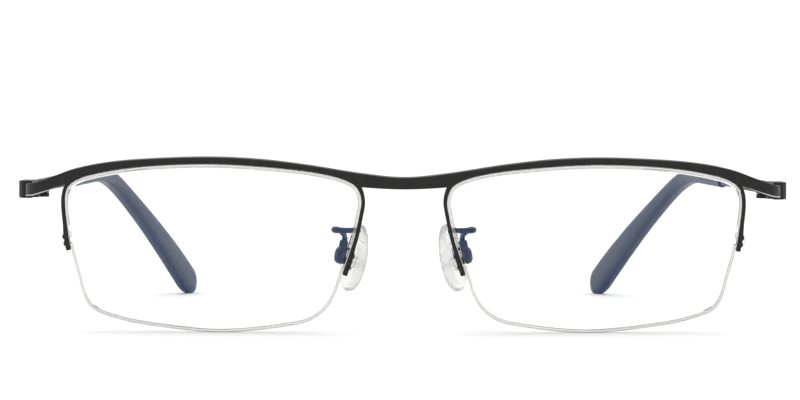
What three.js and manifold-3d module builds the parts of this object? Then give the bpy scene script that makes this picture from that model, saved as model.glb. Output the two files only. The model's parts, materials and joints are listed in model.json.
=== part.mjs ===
// Half rim (semi-rimless) eyeglasses, standing open on their lens bottoms and temple tips.
// Millimetres, +Z up. The front faces -Y, the temples run towards +Y, and the wearer's left is +X.
// One side is built once and mirrored. On the front, a place is given as u (distance from the middle),
// h (height above the lens bottom) and w (distance behind the front surface).
import * as THREE from 'three';
import { mergeVertices } from 'three/addons/utils/BufferGeometryUtils.js';
import Module from 'manifold-3d';

const wasm = await Module();
wasm.setup();
const { degToRad, lerp, clamp, smoothstep } = THREE.MathUtils;

// ---------------------------------------------------------------- driving dimensions
const LEAN = degToRad(8); // the front's top leans forward by this pantoscopic angle
const BASE_RADIUS = 130; // radius of the lenses and of the rims that follow them
const FACE_FORM = 0.105; // each lens sweeps back by this slope
const LENS_CENTRE = new THREE.Vector2(35.6, 16);
const BRIDGE_HALF = 9; // inside this half width the bar rounds across the bridge

const LENS_THICKNESS = 1.8;
const LENS_FRONT = -0.1; // the lens stands proud of the rim's front by this much
const GROOVE_WIDTH = 0.62;
const GROOVE_DEPTH = 0.62;
const CORD_RADIUS = 0.25;
const OUTLINE_STEPS = 72;

const RIM_GAP = 0.1; // between lens and rim
const RIM_WIDTH = 0.7;
const RIM_DEPTH = 1.6;
const NASAL_HOLES = [12.1, 14.1]; // heights of the cord holes in each leg
const TEMPORAL_HOLES = [16.1, 17.4];
const HOLE_RADIUS = 0.34;
const EYELET_RADIUS = 0.5; // a raised eyelet stands round each hole on the outside of the leg
const EYELET_TOP = 1.1; // its height above the lens edge
const LEG_FLARE = [0.2, 0.2, 0.1]; // each leg is wider by this at its last stations

const BAR_DEPTH = 1.8;
const BAR_FRONT = -0.1;
const END_THICKNESS = 1.2;
const CORNER_START = 66.9; // half width where the bar turns back towards the temple
const CORNER_RADIUS = 4.5; // outer radius of that turn
const END_LENGTH = 1.88; // straight stub after the turn
const EDGE_BREAK = 0.18;

const HINGE = new THREE.Vector2(67.0, 12.0);
const HINGE_BOTTOM = 24.6;
const HINGE_TOP = 27.3;
const KNUCKLE_RADIUS = 1.05;
const KNUCKLE_GAP = 0.1;
const HINGE_BORE = 0.75;
const HINGE_PIN = 0.68;
const MIDDLE_KNUCKLE = [25.5, 26.4];

const TEMPLE_START = new THREE.Vector3(71.15, 10.8, 26.0);
const TEMPLE_LENGTH = 148; // along its own line, from the butt face to the end of the tip
const TEMPLE_SWEEP = [degToRad(7.8), degToRad(16.6)]; // inward heading before and after the bend
const TEMPLE_DROP = [degToRad(-0.9), degToRad(23), degToRad(29.15)]; // downward pitch: strip, bend, end
const BEND_START = 71;
const BEND_END = 101;
const TIP_START = 54; // where the plastic sleeve begins
const CORE_END = 137;
const BLOCK_HEIGHT = 3.25;
const STRIP_HEIGHT = 2.4;
const STRIP_THICKNESS = 1.1;
const BLOCK_THICKNESS = 2.65;
const CORE_HEIGHT = 1.6;
const CORE_THICKNESS = 0.9;
const SLEEVE_CLEARANCE = 0.1;
const CORE_EDGE = 0.15;

const PAD_CENTRE = { u: 8.95, h: 12.07, w: 10.2 };
const PAD_SPLAY = degToRad(27);
const PAD_TILT = degToRad(12);
const PAD_HALF_WIDTH = 3.85;
const PAD_HALF_LENGTH = 6.4;
const PAD_HALF_THICKNESS = 1.3;
const PAD_PIVOT = -2.75; // the rocking screw's distance behind the pad's middle

// ---------------------------------------------------------------- outlines of the front (u, h)
// The lens starts at the end of the nasal leg and runs up, over the top and down the temporal side.
const LENS_KNOTS = [
  [11.42, 10.75], [9.41, 16.8], [8.42, 21.2], [7.99, 24.4], [8.77, 26.75], [10.72, 27.99],
  [14.76, 29.15], [22.1, 30.16], [36.0, 30.98], [50.0, 30.22], [57.2, 28.96], [59.67, 28.2],
  [61.64, 26.9], [62.4, 24.7], [61.85, 17.8], [61.31, 14.91], [60.05, 10.0], [59.1, 6.6],
  [57.5, 4.2], [52.3, 2.2], [45.6, 1.03], [34.0, 0], [22.3, 1.06], [17.4, 2.15],
  [14.38, 4.3], [12.52, 7.4],
];
const TEMPORAL_LEG_END = 14.9;
const BAR_TOP = [
  [0, 28.58], [7.4, 29.26], [18.4, 30.96], [27.5, 31.96], [36.9, 32.27], [48, 31.84],
  [55.4, 31.1], [60.9, 29.97], [64.6, 28.67], [67.5, 27.65], [70.2, 27.22], [74, 27.15], [84, 27.15],
];
const BRIDGE_EDGE = [[0, 26.45], [3.7, 26.55], [7, 26.77], [9, 27.0], [11, 27.2]];
const END_EDGE = [
  [60.9, 27.75], [62.6, 27.12], [64.75, 26.28], [67.2, 25.48], [69.6, 25.0], [74, 24.88], [84, 24.88],
];

// ---------------------------------------------------------------- solids
function orientedGeometry(points, index) {
  let volume = 0;
  for (let i = 0; i < index.length; i += 3) {
    const [a, b, c] = [points[index[i]], points[index[i + 1]], points[index[i + 2]]];
    volume += a.dot(new THREE.Vector3().crossVectors(b, c));
  }
  const geometry = new THREE.BufferGeometry().setFromPoints(points);
  geometry.setIndex(volume < 0 ? index.toReversed() : index);
  return geometry;
}

// A closed solid through a row of rings that have the same number of points, capped at both ends.
function loft(rings) {
  const count = rings[0].length;
  const points = rings.flat();
  const index = [];
  const last = points.length - count;
  for (let a = 0; a < last; a += count) {
    for (let j = 0; j < count; j++) {
      const k = (j + 1) % count;
      index.push(a + j, a + count + j, a + count + k, a + j, a + count + k, a + k);
    }
  }
  const middle = (ring) => ring.reduce((sum, p) => sum.add(p), new THREE.Vector3()).divideScalar(count);
  points.push(middle(rings[0]), middle(rings.at(-1)));
  for (let j = 0; j < count; j++) {
    const k = (j + 1) % count;
    index.push(points.length - 2, j, k, points.length - 1, last + k, last + j);
  }
  return orientedGeometry(points, index);
}

// A round bar along a row of points, with a radius at each point.
function roundBar(points, radii, sides) {
  const normal = new THREE.Vector3();
  const rings = points.map((point, i) => {
    const ahead = points[Math.min(i + 1, points.length - 1)];
    const behind = points[Math.max(i - 1, 0)];
    const along = ahead.clone().sub(behind).normalize();
    if (i === 0) normal.set(0, 0, 1).cross(along).normalize();
    normal.addScaledVector(along, -normal.dot(along)).normalize();
    const across = new THREE.Vector3().crossVectors(along, normal);
    return Array.from({ length: sides }, (_, j) => {
      const angle = (2 * Math.PI * (j + 0.5)) / sides;
      return point.clone()
        .addScaledVector(normal, radii[i] * Math.cos(angle))
        .addScaledVector(across, radii[i] * Math.sin(angle));
    });
  });
  return loft(rings);
}

function toSolid(geometry) {
  const bare = geometry.clone();
  bare.deleteAttribute('normal');
  bare.deleteAttribute('uv');
  const merged = mergeVertices(bare, 1e-4);
  return new wasm.Manifold(new wasm.Mesh({
    numProp: 3,
    vertProperties: new Float32Array(merged.attributes.position.array),
    triVerts: new Uint32Array(merged.index.array),
  }));
}

function toGeometry(solid) {
  const mesh = solid.getMesh();
  const geometry = new THREE.BufferGeometry();
  geometry.setAttribute('position', new THREE.BufferAttribute(mesh.vertProperties, 3));
  geometry.setIndex(new THREE.BufferAttribute(mesh.triVerts, 1));
  return geometry;
}

function box(low, high) {
  const size = high.map((value, i) => value - low[i]);
  const centre = high.map((value, i) => (value + low[i]) / 2);
  return toSolid(new THREE.BoxGeometry(...size).translate(...centre));
}

function uprightCylinder(radius, bottom, top, sides = 24) {
  const geometry = new THREE.CylinderGeometry(radius, radius, top - bottom, sides);
  return toSolid(geometry.rotateX(Math.PI / 2).translate(0, 0, (top + bottom) / 2));
}

const union = (first, ...others) => others.reduce((sum, other) => sum.add(other), first);

// The four corners of a rectangle with broken edges, as eight points.
function brokenRectangle(left, right, bottom, top, edge) {
  return [
    [left + edge, bottom], [right - edge, bottom], [right, bottom + edge], [right, top - edge],
    [right - edge, top], [left + edge, top], [left, top - edge], [left, bottom + edge],
  ];
}

// ---------------------------------------------------------------- the front's curved surface
function planDepth(u) {
  const outer = (x) => (x - LENS_CENTRE.x) ** 2 / (2 * BASE_RADIUS) + FACE_FORM * (x - LENS_CENTRE.x);
  if (u >= BRIDGE_HALF) return outer(u);
  const slope = (BRIDGE_HALF - LENS_CENTRE.x) / BASE_RADIUS + FACE_FORM;
  return outer(BRIDGE_HALF) + (slope * (u * u - BRIDGE_HALF ** 2)) / (2 * BRIDGE_HALF);
}

function frontPoint(u, h, w = 0) {
  const bow = (h - LENS_CENTRE.y) ** 2 / (2 * BASE_RADIUS);
  const y = planDepth(u) + bow - h * Math.tan(LEAN) + w * Math.cos(LEAN);
  return new THREE.Vector3(u, y, h + w * Math.sin(LEAN));
}

function heightCurve(knots) {
  const curve = new THREE.SplineCurve(knots.map(([u, h]) => new THREE.Vector2(u, h)));
  const points = curve.getPoints(knots.length * 12);
  return (u) => heightAt(points, u);
}

function heightAt(points, u) {
  if (u < points[0].x || u > points.at(-1).x) return -Infinity;
  const i = Math.max(1, points.findIndex((point) => point.x >= u));
  const [a, b] = [points[i - 1], points[i]];
  return lerp(a.y, b.y, (u - a.x) / Math.max(b.x - a.x, 1e-6));
}

const lensCurve = new THREE.CatmullRomCurve3(
  LENS_KNOTS.map(([u, h]) => new THREE.Vector3(u, h, 0)), true, 'centripetal',
);
const lensOutline = lensCurve.getSpacedPoints(OUTLINE_STEPS).slice(0, -1)
  .map((point) => new THREE.Vector2(point.x, point.y));

// The outline moved outwards by a distance, point by point.
function offsetOutline(distance) {
  const count = lensOutline.length;
  return lensOutline.map((point, i) => {
    const ahead = lensOutline[(i + 1) % count];
    const behind = lensOutline[(i + count - 1) % count];
    const along = ahead.clone().sub(behind).normalize();
    return new THREE.Vector2(-along.y, along.x).multiplyScalar(distance).add(point);
  });
}

const rimEnd = lensOutline.findIndex((p) => p.x > LENS_CENTRE.x && p.y < TEMPORAL_LEG_END);

// A point at a height on one side of the lens, moved outwards by a distance.
function sidePoint(side, h, distance) {
  const inner = sidePointAt(lensOutline, side, h);
  const outer = sidePointAt(offsetOutline(1), side, h);
  const slope = new THREE.Vector2(outer.x - inner.x, 0);
  return inner.addScaledVector(slope, distance);
}

function sidePointAt(outline, side, h) {
  for (let i = 0; i < outline.length; i++) {
    const [a, b] = [outline[i], outline[(i + 1) % outline.length]];
    const onSide = side === 'temporal' ? a.x > LENS_CENTRE.x : a.x < LENS_CENTRE.x;
    const crosses = (a.y - h) * (b.y - h) <= 0 && a.y !== b.y;
    if (onSide && crosses) return a.clone().lerp(b, (h - a.y) / (b.y - a.y));
  }
  throw new Error(`no lens edge at height ${h}`);
}

// ---------------------------------------------------------------- front frame
const browTop = heightCurve(BAR_TOP);
const bridgeEdge = heightCurve(BRIDGE_EDGE);
const endEdge = heightCurve(END_EDGE);
const rimMiddle = offsetOutline(RIM_GAP + RIM_WIDTH / 2).slice(0, rimEnd);
const rimTop = rimMiddle.filter((p, i) => i > 0 && p.x > rimMiddle[i - 1].x);
const browBottom = (u) => Math.max(bridgeEdge(u), heightAt(rimTop, u), endEdge(u));

// One section of the bar: s runs along it from the middle, straight, round the corner and back.
function barSection(s) {
  const turnLength = CORNER_RADIUS * (Math.PI / 2 + TEMPLE_SWEEP[0] - cornerHeading());
  const turned = clamp(s - CORNER_START, 0, turnLength) / CORNER_RADIUS;
  const straight = Math.max(0, s - CORNER_START - turnLength);
  const front = Math.min(s, CORNER_START);
  const heading = headingAt(front) + turned;
  const x = front + CORNER_RADIUS * (Math.sin(heading) - Math.sin(headingAt(front)))
    + straight * Math.cos(heading);
  const back = CORNER_RADIUS * (Math.cos(headingAt(front)) - Math.cos(heading))
    + straight * Math.sin(heading);
  const [bottom, top] = [browBottom(s), browTop(s)];
  const middle = frontPoint(front, (bottom + top) / 2);
  const upright = smoothstep(turned, 0, 1);
  const lean = LEAN * (1 - upright);
  const up = new THREE.Vector3(0, -Math.sin(lean), Math.cos(lean));
  const along = new THREE.Vector3(Math.cos(heading), Math.sin(heading), 0);
  const inward = new THREE.Vector3().crossVectors(up, along).normalize();
  const centre = new THREE.Vector3(x, middle.y + back, middle.z);
  const half = (top - bottom) / 2 / Math.cos(lean);
  const depth = lerp(BAR_DEPTH, END_THICKNESS, smoothstep(s, 60, CORNER_START + 3));
  return brokenRectangle(BAR_FRONT, BAR_FRONT + depth, -half, half, EDGE_BREAK)
    .map(([w, v]) => centre.clone().addScaledVector(inward, w).addScaledVector(up, v));
}

function headingAt(u) {
  const step = 0.01;
  return Math.atan((planDepth(u) - planDepth(u - step)) / step) * (u > step ? 1 : 0);
}

function cornerHeading() {
  return headingAt(CORNER_START);
}

function barStations() {
  const turnLength = CORNER_RADIUS * (Math.PI / 2 + TEMPLE_SWEEP[0] - cornerHeading());
  const stations = [2.5, 5, 7, 8, 8.7, 9.5, 10.5, 12];
  for (let u = 15; u < 60; u += 3) stations.push(u);
  for (let u = 60; u < CORNER_START; u += 1.2) stations.push(u);
  for (let i = 0; i <= 6; i++) stations.push(CORNER_START + (turnLength * i) / 6);
  stations.push(CORNER_START + turnLength + END_LENGTH);
  return stations;
}

const mirrored = (point) => new THREE.Vector3(-point.x, point.y, point.z);

function browBar() {
  const left = barStations().map(barSection);
  const right = left.map((ring) => ring.map(mirrored)).reverse();
  return toSolid(loft([...right, ...left]));
}

function halfRim(place) {
  const inner = offsetOutline(RIM_GAP);
  const rings = inner.slice(0, rimEnd).map((p, i) => {
    const flare = LEG_FLARE[Math.min(i, rimEnd - 1 - i)] ?? 0;
    const outer = offsetOutline(RIM_GAP + RIM_WIDTH + flare)[i];
    return [
      frontPoint(p.x, p.y, 0), frontPoint(outer.x, outer.y, 0),
      frontPoint(outer.x, outer.y, RIM_DEPTH), frontPoint(p.x, p.y, RIM_DEPTH),
    ].map(place);
  });
  return toSolid(loft(rings));
}

// A short round bar across a leg, between two distances from the lens edge.
function acrossLeg(side, h, distances, radius, place) {
  const ends = distances.map((distance) => {
    const point = sidePoint(side, h, distance);
    return place(frontPoint(point.x, point.y, RIM_DEPTH / 2));
  });
  return toSolid(roundBar(ends, [radius, radius], 12));
}

function frontFrame() {
  let frame = browBar();
  for (const place of [(point) => point, mirrored]) {
    frame = frame.add(halfRim(place));
    const holes = [...NASAL_HOLES.map((h) => ['nasal', h]), ...TEMPORAL_HOLES.map((h) => ['temporal', h])];
    for (const hole of holes) frame = frame.add(acrossLeg(...hole, [0.4, EYELET_TOP], EYELET_RADIUS, place));
    for (const hole of holes) frame = frame.subtract(acrossLeg(...hole, [-0.05, 1.5], HOLE_RADIUS, place));
  }
  return toGeometry(frame);
}

// ---------------------------------------------------------------- lens, cord and liner
function lensRing(inset, w, scale = 1) {
  return offsetOutline(-inset).map((point) => {
    const scaled = point.sub(LENS_CENTRE).multiplyScalar(scale).add(LENS_CENTRE);
    return frontPoint(scaled.x, scaled.y, w);
  });
}

function lens() {
  const [front, back] = [LENS_FRONT, LENS_FRONT + LENS_THICKNESS];
  const middle = (front + back) / 2;
  const [grooveFront, grooveBack] = [middle - GROOVE_WIDTH / 2, middle + GROOVE_WIDTH / 2];
  const face = (w) => [0.15, 0.5, 0.85].map((scale) => lensRing(0, w, scale));
  return loft([
    ...face(front), lensRing(0, front), lensRing(0, grooveFront), lensRing(GROOVE_DEPTH, grooveFront),
    lensRing(GROOVE_DEPTH, grooveBack), lensRing(0, grooveBack), lensRing(0, back), ...face(back).reverse(),
  ]);
}

// A row of points with its inner corners rounded by arcs.
function roundedCorners(points, radius, steps) {
  const path = [points[0]];
  for (let i = 1; i < points.length - 1; i++) {
    const [before, corner, after] = points.slice(i - 1, i + 2);
    const start = corner.clone().addScaledVector(before.clone().sub(corner).normalize(), radius);
    const end = corner.clone().addScaledVector(after.clone().sub(corner).normalize(), radius);
    const arc = new THREE.QuadraticBezierCurve(start, corner, end);
    path.push(...arc.getPoints(steps));
  }
  path.push(points.at(-1));
  return path;
}

const IN_GROOVE = -0.27; // the cord's middle, inside the lens edge
const OUTSIDE_LEG = EYELET_TOP + CORD_RADIUS + 0.14; // the cord's middle where it loops round the leg

// The cord's loop through a leg: out of the first hole and back in at the second.
function cordLoop(side, entry, first, second, exit) {
  const corners = [
    [IN_GROOVE, entry], [IN_GROOVE, first], [OUTSIDE_LEG, first],
    [OUTSIDE_LEG, second], [IN_GROOVE, second], [IN_GROOVE, exit],
  ].map(([distance, h]) => new THREE.Vector2(distance, h));
  return roundedCorners(corners, 0.28, 4).map((p) => sidePoint(side, p.y, p.x));
}

function lensCord() {
  const [nasalLow, nasalHigh] = NASAL_HOLES;
  const [temporalLow, temporalHigh] = TEMPORAL_HOLES;
  const temporal = cordLoop('temporal', temporalHigh + 1, temporalHigh, temporalLow, temporalLow - 1);
  const nasal = cordLoop('nasal', nasalLow - 1, nasalLow, nasalHigh, nasalHigh + 1);
  const groove = offsetOutline(IN_GROOVE).filter((p, i) => i >= rimEnd && (p.x < LENS_CENTRE.x
    ? p.y < nasalLow - 1.8 : p.y < temporalLow - 1.8));
  const path = [...temporal, ...groove, ...nasal].map((p) => frontPoint(p.x, p.y, RIM_DEPTH / 2));
  return roundBar(path, path.map(() => CORD_RADIUS), 6);
}

function rimLiner() {
  const path = offsetOutline(-0.22)
    .filter((p, i) => i < rimEnd && p.y > (p.x < LENS_CENTRE.x ? NASAL_HOLES[1] : TEMPORAL_HOLES[1]) + 2)
    .map((p) => frontPoint(p.x, p.y, RIM_DEPTH / 2));
  return roundBar(path, path.map(() => CORD_RADIUS), 6);
}

// ---------------------------------------------------------------- hinge
const KNUCKLE_ARM = 1.0; // thickness of the plates that carry the knuckles

function hingeBore() {
  return uprightCylinder(HINGE_BORE, HINGE_BOTTOM - 1, HINGE_TOP + 1);
}

// Plate on the inside of the end piece, with the top and bottom knuckles.
function hingeFrontLeaf() {
  const [low, high] = MIDDLE_KNUCKLE;
  const levels = [[HINGE_BOTTOM, low - KNUCKLE_GAP], [high + KNUCKLE_GAP, HINGE_TOP]];
  const plate = box([0.2, -4.4, HINGE_BOTTOM], [0.2 + KNUCKLE_ARM, -1.25, HINGE_TOP]);
  const knuckles = levels.flatMap(([bottom, top]) => [
    uprightCylinder(KNUCKLE_RADIUS, bottom, top),
    box([0, -1.6, bottom], [1.04, 0, top]),
  ]);
  return toGeometry(union(plate, ...knuckles).subtract(hingeBore()));
}

// Plate on the inside of the temple, with the middle knuckle.
function hingeTempleLeaf() {
  const [low, high] = MIDDLE_KNUCKLE;
  const knuckle = uprightCylinder(KNUCKLE_RADIUS, low, high);
  const arm = box([0, -0.9, low], [1.7, 1.04, high]);
  const plate = box([1.2, -0.9, HINGE_BOTTOM + 0.3], [1.78, 4.6, HINGE_TOP - 0.3]);
  return toGeometry(union(knuckle, arm, plate).subtract(hingeBore()));
}

function slottedScrew(pinRadius, headRadius, length, headHeight) {
  const profile = [
    [0, 0], [pinRadius - 0.1, 0], [pinRadius, 0.1], [pinRadius, length],
    [headRadius, length], [headRadius, length + headHeight * 0.6],
    [headRadius * 0.7, length + headHeight], [0, length + headHeight],
  ].map(([x, y]) => new THREE.Vector2(x, y));
  const screw = toSolid(new THREE.LatheGeometry(profile, 16).rotateX(Math.PI / 2));
  const depth = headHeight * 0.5;
  const reach = headRadius * 1.1;
  const slot = box([-reach, -0.12, length + headHeight - depth], [reach, 0.12, length + 1]);
  return toGeometry(screw.subtract(slot));
}

// ---------------------------------------------------------------- temple
// The temple's middle line, walked in small steps: straight, then bent inwards and down.
function templePath() {
  const step = 0.5;
  const path = [];
  const point = TEMPLE_START.clone();
  for (let s = 0; s <= TEMPLE_LENGTH + step; s += step) {
    const bend = smoothstep(s, BEND_START, BEND_END);
    const heading = lerp(TEMPLE_SWEEP[0], TEMPLE_SWEEP[1], bend);
    const past = clamp((s - BEND_END) / (TEMPLE_LENGTH - BEND_END), 0, 1);
    const late = lerp(TEMPLE_DROP[1], TEMPLE_DROP[2], past);
    const pitch = lerp(TEMPLE_DROP[0], late, bend);
    const level = new THREE.Vector3(-Math.sin(heading), Math.cos(heading), 0);
    const along = level.multiplyScalar(Math.cos(pitch)).add(new THREE.Vector3(0, 0, -Math.sin(pitch)));
    const outward = new THREE.Vector3(Math.cos(heading), Math.sin(heading), 0);
    const up = new THREE.Vector3().crossVectors(outward, along);
    path.push({ s, point: point.clone(), outward, up });
    point.addScaledVector(along, step);
  }
  return path;
}

const temple = templePath();

function templeSection(s, outline) {
  const { point, outward, up } = temple[Math.round(s * 2)];
  return outline.map(([x, z]) => point.clone().addScaledVector(outward, x).addScaledVector(up, z));
}

function armOutline(s) {
  if (s > TIP_START - 1) {
    const [x, z] = [CORE_THICKNESS / 2, CORE_HEIGHT / 2];
    return brokenRectangle(-x, x, -z, z, CORE_EDGE);
  }
  const slimmed = smoothstep(s, 5, 11);
  const inner = lerp(BLOCK_THICKNESS, STRIP_THICKNESS, slimmed) - STRIP_THICKNESS / 2;
  const outer = STRIP_THICKNESS / 2 - (s === 0 ? 0.9 : 0);
  const half = lerp(BLOCK_HEIGHT, STRIP_HEIGHT, slimmed) / 2;
  return brokenRectangle(-inner, outer, -half, half, EDGE_BREAK);
}

function bendStations() {
  const stations = [];
  for (let s = BEND_START; s <= BEND_END + 2; s += 4) stations.push(s);
  return stations;
}

function templeArm() {
  const stations = [0, 1, 5, 6, 7, 8, 9, 10, 11, 20, 48, TIP_START - 1, TIP_START - 0.5, ...bendStations()];
  stations.push(110, 124, CORE_END);
  return loft(stations.map((s) => templeSection(s, armOutline(s))));
}

const SLEEVE_HEIGHT = [3.3, 6.4]; // up to the bend, and at the broadest part of the tip
const TIP_TOP_ROUND = 3.5; // the tip's end is rounded over this length on top
const TIP_BOTTOM_ROUND = 8; // and over this length underneath

function roundedOutline(halfThickness, halfHeight, count = 14) {
  return Array.from({ length: count }, (_, j) => {
    const angle = (2 * Math.PI * (j + 0.5)) / count;
    const squared = (value) => Math.sign(value) * Math.abs(value) ** 0.7;
    const extent = Math.sin(angle) > 0 ? halfHeight.top : halfHeight.bottom;
    return [halfThickness * squared(Math.cos(angle)), extent * squared(Math.sin(angle))];
  });
}

function tipOutline(s) {
  const [slim, full] = SLEEVE_HEIGHT;
  const half = lerp(slim, full, smoothstep(s, 88, TEMPLE_LENGTH - 2) ** 1.2) / 2;
  const thickness = lerp(1.9, 2.9, smoothstep(s, TIP_START, TIP_START + 16));
  const rounding = (length) => {
    const past = clamp((s - (TEMPLE_LENGTH - length)) / length, 0, 0.985);
    return Math.sqrt(1 - past * past);
  };
  const [top, bottom] = [half * rounding(TIP_TOP_ROUND), half * rounding(TIP_BOTTOM_ROUND)];
  return roundedOutline((thickness / 2) * Math.sqrt(rounding(TIP_TOP_ROUND)), { top, bottom });
}

function templeTip() {
  const stations = [TIP_START, TIP_START + 5, TIP_START + 10, ...bendStations(), 108, 118, 128, 136];
  stations.push(...[8, 6.5, 5, 3.5, 2.5, 1.5, 1, 0.5, 0].map((back) => TEMPLE_LENGTH - back));
  const sleeve = toSolid(loft(stations.map((s) => templeSection(s, tipOutline(s)))));
  const [x, z] = [CORE_THICKNESS / 2 + SLEEVE_CLEARANCE, CORE_HEIGHT / 2 + SLEEVE_CLEARANCE];
  const hollow = [TIP_START - 1, ...bendStations(), 110, 124, CORE_END + 0.5];
  const cavity = toSolid(loft(hollow.map((s) => templeSection(s, brokenRectangle(-x, x, -z, z, 0.1)))));
  return toGeometry(sleeve.subtract(cavity));
}

// ---------------------------------------------------------------- nose pad, in its own frame
// Local X runs from the pad's front edge to its back edge, Y towards the nose and Z up the pad.
function padRing(scale, y) {
  return Array.from({ length: 24 }, (_, j) => {
    const angle = (2 * Math.PI * j) / 24;
    const taper = 1 - 0.12 * Math.sin(angle);
    return new THREE.Vector3(
      PAD_HALF_WIDTH * scale * Math.cos(angle) * taper, y, PAD_HALF_LENGTH * scale * Math.sin(angle),
    );
  });
}

const PLATE = { x: 1.5, z: 2.6, back: -1.28, front: -0.7 };

function nosePad() {
  const t = PAD_HALF_THICKNESS;
  const rings = [[0.82, -t], [0.94, -0.8 * t], [1, -0.2 * t], [0.97, 0.3 * t], [0.8, 0.8 * t], [0.5, t]];
  const pad = toSolid(loft(rings.map(([scale, y]) => padRing(scale, y))));
  const gap = 0.05;
  return toGeometry(pad.subtract(box(
    [-PLATE.x - gap, -t - 1, -PLATE.z - gap], [PLATE.x + gap, PLATE.front + gap, PLATE.z + gap])));
}

function crossPin(radius, from, to) {
  const geometry = new THREE.CylinderGeometry(radius, radius, to - from, 16);
  return toSolid(geometry.rotateZ(Math.PI / 2).translate((from + to) / 2, PAD_PIVOT, 0));
}

function padInsert() {
  const plate = box([-PLATE.x, PLATE.back, -PLATE.z], [PLATE.x, PLATE.front, PLATE.z]);
  const stud = box([-0.8, -3.4, -0.75], [0.8, PLATE.back + 0.1, 0.75]);
  return toGeometry(plate.add(stud).subtract(crossPin(0.52, -2, 2)));
}

const BOX_HALF = { x: 1.3, z: 1.65 };
const BOX_BACK = -4.1;

function padBox() {
  const wall = 0.4;
  const shell = box([-BOX_HALF.x, BOX_BACK, -BOX_HALF.z], [BOX_HALF.x, -1.9, BOX_HALF.z]);
  const hollow = box(
    [-BOX_HALF.x + wall, BOX_BACK + wall, -BOX_HALF.z + wall], [BOX_HALF.x - wall, 0, BOX_HALF.z - wall]);
  return toGeometry(shell.subtract(hollow).subtract(crossPin(0.5, -2, 2)));
}

function padScrew() {
  return slottedScrew(0.45, 0.75, 2.75, 0.4).rotateY(-Math.PI / 2).translate(1.4, PAD_PIVOT, 0);
}

function padFrame() {
  const frame = new THREE.Group();
  frame.position.copy(frontPoint(PAD_CENTRE.u, PAD_CENTRE.h, PAD_CENTRE.w));
  frame.rotation.set(-PAD_TILT, 0, Math.PI / 2 - PAD_SPLAY, 'ZXY');
  frame.updateMatrix();
  return frame;
}

const ARM_RADIUS = 0.5;

// The wire from the back of the nasal leg: out behind the lens, round a loop and down to the box.
function padArm() {
  const onBox = (z) => new THREE.Vector3(0, BOX_BACK + 1.1, z).applyMatrix4(padFrame().matrix);
  const route = new THREE.CatmullRomCurve3([
    frontPoint(8.48, 18.6, RIM_DEPTH + 0.1), frontPoint(8.7, 18.6, 2.5), frontPoint(10.6, 18.5, 3.1),
    frontPoint(12.3, 18.4, 4.0), frontPoint(12.85, 18.3, 5.1), frontPoint(12.2, 18.1, 6.3),
    frontPoint(11.4, 17.4, 7.1), onBox(3.2), onBox(BOX_HALF.z + 0.08),
  ], false, 'centripetal');
  const points = route.getSpacedPoints(30);
  const radii = points.map((_, i) => (i > 28 ? 0.8 : ARM_RADIUS));
  return roundBar(points, radii, 8);
}

// ---------------------------------------------------------------- assembly
const blackMetal = { color: 0x262425, roughness: 0.5, metalness: 0.6 };
const steel = { color: 0x8c9098, roughness: 0.3, metalness: 0.9 };
const blackPlastic = { color: 0x1c1c1e, roughness: 0.35, metalness: 0 };
const clearPlastic = { color: 0xe6eef2, roughness: 0.1, metalness: 0, transparent: true, opacity: 0.3 };
const silicone = { color: 0xe4e4e2, roughness: 0.35, metalness: 0, transparent: true, opacity: 0.6 };

function part(name, geometry, look) {
  const mesh = new THREE.Mesh(geometry, new THREE.MeshStandardMaterial(look));
  mesh.name = name;
  return mesh;
}

function hinge(side) {
  const group = new THREE.Group();
  group.position.set(HINGE.x, HINGE.y, 0);
  group.rotation.z = TEMPLE_SWEEP[0];
  const pin = slottedScrew(HINGE_PIN, 1.0, HINGE_TOP - HINGE_BOTTOM, 0.5);
  const screw = part(`${side}_hinge_screw`, pin, steel);
  screw.position.z = HINGE_BOTTOM + 0.05;
  group.add(
    part(`${side}_hinge_front_leaf`, hingeFrontLeaf(), blackMetal),
    part(`${side}_hinge_temple_leaf`, hingeTempleLeaf(), blackMetal),
    screw,
  );
  return group;
}

function pad(side) {
  const frame = padFrame();
  frame.add(
    part(`${side}_nose_pad`, nosePad(), silicone),
    part(`${side}_pad_insert`, padInsert(), clearPlastic),
    part(`${side}_pad_box`, padBox(), steel),
    part(`${side}_pad_screw`, padScrew(), steel),
  );
  return frame;
}

function halfGlasses(side) {
  const group = new THREE.Group();
  group.add(
    part(`${side}_lens`, lens(), clearPlastic),
    part(`${side}_lens_cord`, lensCord(), clearPlastic),
    part(`${side}_rim_liner`, rimLiner(), clearPlastic),
    part(`${side}_pad_arm`, padArm(), steel),
    part(`${side}_temple_arm`, templeArm(), blackMetal),
    part(`${side}_temple_tip`, templeTip(), blackPlastic),
    hinge(side),
    pad(side),
  );
  return group;
}

const glasses = new THREE.Group();
const leftHalf = halfGlasses('left');
const rightHalf = halfGlasses('right');
rightHalf.scale.x = -1;
glasses.add(part('front_frame', frontFrame(), blackMetal), leftHalf, rightHalf);

// The origin is the middle of the footprint, on the table.
glasses.updateMatrixWorld(true);
const bounds = new THREE.Box3().setFromObject(glasses);
glasses.position.set(0, -(bounds.min.y + bounds.max.y) / 2, -bounds.min.z);

export default glasses;
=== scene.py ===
"""Half rim eyeglasses on a white table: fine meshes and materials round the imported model."""
import json
import math

import bpy
import numpy as np
from mathutils import Euler, Matrix, Vector


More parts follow.
